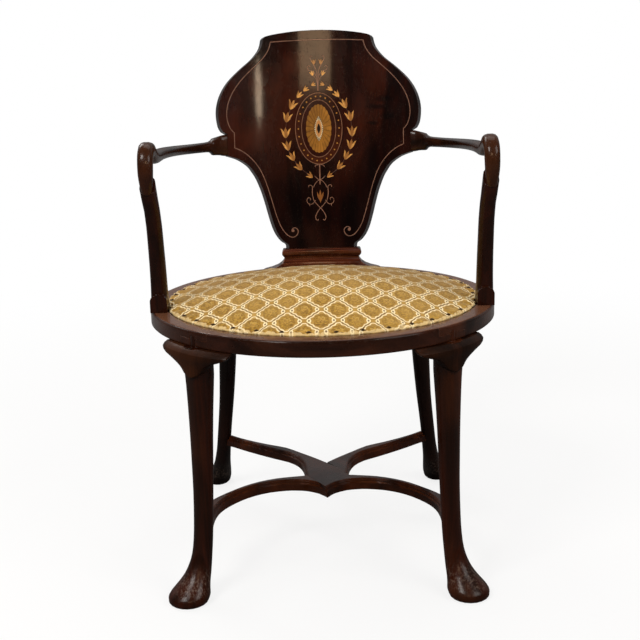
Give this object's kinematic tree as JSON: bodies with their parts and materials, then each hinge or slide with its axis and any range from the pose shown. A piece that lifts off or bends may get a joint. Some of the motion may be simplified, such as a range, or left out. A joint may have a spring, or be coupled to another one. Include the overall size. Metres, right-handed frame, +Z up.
{
  "type": "armchair",
  "caption": "Mahogany armchair with a round stuffed seat, a shaped hollowed back inlaid with an oval patera and wreath, crook arms and a shaped cross stretcher.",
  "frame": {"origin": "middle of the chair's outline on the floor", "axes": "+Z up, the chair faces -Y, +X is to the right seen from the front"},
  "size_m": [0.542, 0.591, 0.8253],
  "materials": {
    "mahogany": "polished dark mahogany, rubbed lighter on edges",
    "veneer": "polished mahogany face veneer",
    "banding": "polished dark banding",
    "stringing": "polished boxwood line",
    "satinwood": "polished satinwood, scorched at the edges",
    "holly": "polished pale inlay",
    "ebony": "polished black inlay",
    "beech": "plain turned dowel",
    "brass": "tarnished brass",
    "steel": "dull steel",
    "tack_iron": "blackened iron tack heads",
    "webbing": "woven jute",
    "stuffing": "hair stuffing under calico",
    "damask": "gold and cream woven cover"
  },
  "bodies": {
    "root": {"front_rail": "mahogany", "back_rail": "mahogany", "left_rail": "mahogany", "right_rail": "mahogany", "front_left_leg": "mahogany", "front_right_leg": "mahogany", "back_left_leg": "mahogany", "back_right_leg": "mahogany", "front_left_knee": "mahogany", "front_right_knee": "mahogany", "stretcher_left": "mahogany", "stretcher_right": "mahogany", "stretcher_screw": "brass", "back_shoe": "mahogany", "back_panel": "mahogany", "face_veneer": "veneer", "stringing": "stringing", "patera_lines": "stringing", "patera_band": "banding", "patera_dots": "satinwood", "patera_ground": "banding", "patera_petals": "satinwood", "patera_lozenge": "holly", "patera_eye": "ebony", "wreath_leaves": "satinwood", "wreath_stems": "stringing", "left_arm": "mahogany", "right_arm": "mahogany", "left_arm_post": "mahogany", "right_arm_post": "mahogany", "arm_dowels": "beech", "post_screws": "steel", "shoe_screws": "steel", "seat_webbing": "webbing", "seat_stuffing": "stuffing", "seat_cover": "damask", "cover_tacks": "tack_iron"}
  },
  "joints": []
}
